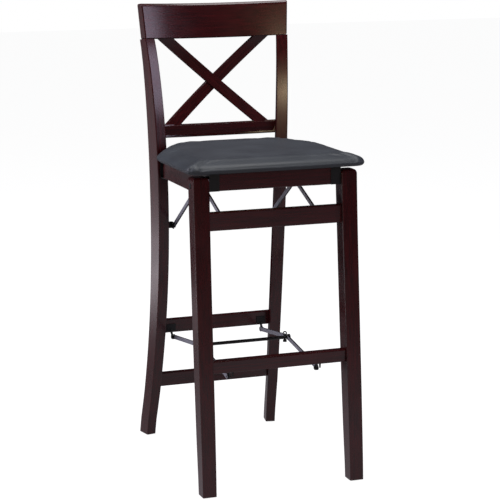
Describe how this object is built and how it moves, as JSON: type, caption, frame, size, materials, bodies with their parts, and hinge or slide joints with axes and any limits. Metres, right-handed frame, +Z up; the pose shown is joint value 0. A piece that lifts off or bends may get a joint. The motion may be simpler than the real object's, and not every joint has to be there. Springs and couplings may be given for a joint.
{
  "type": "folding bar stool",
  "caption": "Folding wooden bar stool with a crossed back, a padded seat hinged at the front legs, footrest and coupled steel folding linkages.",
  "frame": {"origin": "bottom centre of the bounding box, on the floor midway between the front and rear feet", "axes": "+Z up, -Y towards where the sitter faces, +X towards the right of the picture"},
  "size_m": [0.432, 0.5634, 1.0869],
  "materials": {
    "stained_wood": "dark stained hardwood under satin lacquer",
    "plywood": "bare plywood",
    "vinyl": "satin vinyl-coated cloth over foam",
    "black_steel": "black painted steel",
    "plain_steel": "plain rolled steel bar",
    "nylon": "moulded nylon"
  },
  "bodies": {
    "back_frame": {"rear_post_right": "stained_wood", "rear_post_left": "stained_wood", "rear_bracket_rail": "stained_wood", "rear_lower_rail": "stained_wood", "back_slat_front": "stained_wood", "back_slat_rear": "stained_wood", "crest_rail": "stained_wood", "lower_back_rail": "stained_wood", "rear_glide_right": "nylon", "rear_glide_left": "nylon", "seat_rest_right": "black_steel", "seat_rest_left": "black_steel", "rear_stay_bracket_right": "black_steel", "rear_stay_bracket_left": "black_steel", "rear_stay_rivet_right": "black_steel", "rear_stay_rivet_left": "black_steel", "rear_link_bracket_right": "black_steel", "rear_link_bracket_left": "black_steel", "rear_link_rivet_right": "black_steel", "rear_link_rivet_left": "black_steel"},
    "rear_links": {"rear_link_right": "plain_steel", "rear_link_left": "plain_steel", "cross_rod": "black_steel", "ring_bolt": "black_steel"},
    "left_front_link": {"front_link_left": "plain_steel"},
    "right_front_link": {"front_link_right": "plain_steel"},
    "front_frame": {"front_leg_right": "stained_wood", "front_leg_left": "stained_wood", "front_upper_rail": "stained_wood", "footrest_rail": "stained_wood", "front_glide_right": "nylon", "front_glide_left": "nylon", "seat_pivot_bolt_right": "black_steel", "seat_pivot_bolt_left": "black_steel", "front_stay_bracket_right": "black_steel", "front_stay_bracket_left": "black_steel", "front_stay_rivet_right": "black_steel", "front_stay_rivet_left": "black_steel", "front_link_bracket_right": "black_steel", "front_link_bracket_left": "black_steel", "front_link_rivet_right": "black_steel", "front_link_rivet_left": "black_steel"},
    "seat": {"seat_side_rail_right": "stained_wood", "seat_side_rail_left": "stained_wood", "seat_apron": "stained_wood", "seat_rear_rail": "stained_wood", "seat_board": "plywood", "seat_pad": "vinyl", "seat_pivot_plate_right": "black_steel", "seat_pivot_plate_left": "black_steel"},
    "right_rear_stay": {"rear_stay_right": "plain_steel", "knee_rivet_outer_right": "black_steel"},
    "left_rear_stay": {"rear_stay_left": "plain_steel", "knee_rivet_outer_left": "black_steel"},
    "right_front_stay": {"front_stay_right": "plain_steel", "knee_rivet_inner_right": "black_steel"},
    "left_front_stay": {"front_stay_left": "plain_steel", "knee_rivet_inner_left": "black_steel"}
  },
  "joints": [
    {"name": "rear_link_fold", "type": "hinge", "parent": "back_frame", "child": "rear_links", "pos_m": [0, 0.18554, 0.264], "axis": [-1, 0, 0], "range_deg": [0, 82.26]},
    {"name": "left_front_link_fold", "type": "hinge", "parent": "rear_links", "child": "left_front_link", "pos_m": [-0.11075, -0.01256, 0.289], "axis": [1, 0, 0], "range_deg": [0, 165]},
    {"name": "right_front_link_fold", "type": "hinge", "parent": "rear_links", "child": "right_front_link", "pos_m": [0.11075, -0.01256, 0.289], "axis": [1, 0, 0], "range_deg": [0, 165.02]},
    {"name": "front_frame_fold", "type": "hinge", "parent": "left_front_link", "child": "front_frame", "pos_m": [-0.11075, -0.20376, 0.26], "axis": [-1, 0, 0], "range_deg": [0, 71.27]},
    {"name": "seat_fold", "type": "hinge", "parent": "front_frame", "child": "seat", "pos_m": [0, -0.20976, 0.706], "axis": [1, 0, 0], "range_deg": [0, 78.52]},
    {"name": "right_rear_stay_fold", "type": "hinge", "parent": "back_frame", "child": "right_rear_stay", "pos_m": [0.1206, 0.15414, 0.5516], "axis": [-1, 0, 0], "range_deg": [0, 49.96]},
    {"name": "left_rear_stay_fold", "type": "hinge", "parent": "back_frame", "child": "left_rear_stay", "pos_m": [-0.1206, 0.15414, 0.5516], "axis": [-1, 0, 0], "range_deg": [0, 49.96]},
    {"name": "right_front_stay_fold", "type": "hinge", "parent": "front_frame", "child": "right_front_stay", "pos_m": [0.1151, -0.19216, 0.6233], "axis": [1, 0, 0], "range_deg": [0, 57.09]},
    {"name": "left_front_stay_fold", "type": "hinge", "parent": "front_frame", "child": "left_front_stay", "pos_m": [-0.1151, -0.19216, 0.6233], "axis": [1, 0, 0], "range_deg": [0, 57.09]}
  ],
  "couplings": [
    {"joint": "rear_link_fold", "follows": "left_front_link_fold", "ratio": 0.49846},
    {"joint": "right_front_link_fold", "follows": "left_front_link_fold", "ratio": 1},
    {"joint": "front_frame_fold", "follows": "left_front_link_fold", "ratio": 0.43184},
    {"joint": "seat_fold", "follows": "left_front_link_fold", "ratio": 0.47575},
    {"joint": "right_rear_stay_fold", "follows": "left_front_link_fold", "ratio": 0.3027},
    {"joint": "left_rear_stay_fold", "follows": "left_front_link_fold", "ratio": 0.3027},
    {"joint": "right_front_stay_fold", "follows": "left_front_link_fold", "ratio": 0.3459},
    {"joint": "left_front_stay_fold", "follows": "left_front_link_fold", "ratio": 0.3459}
  ]
}
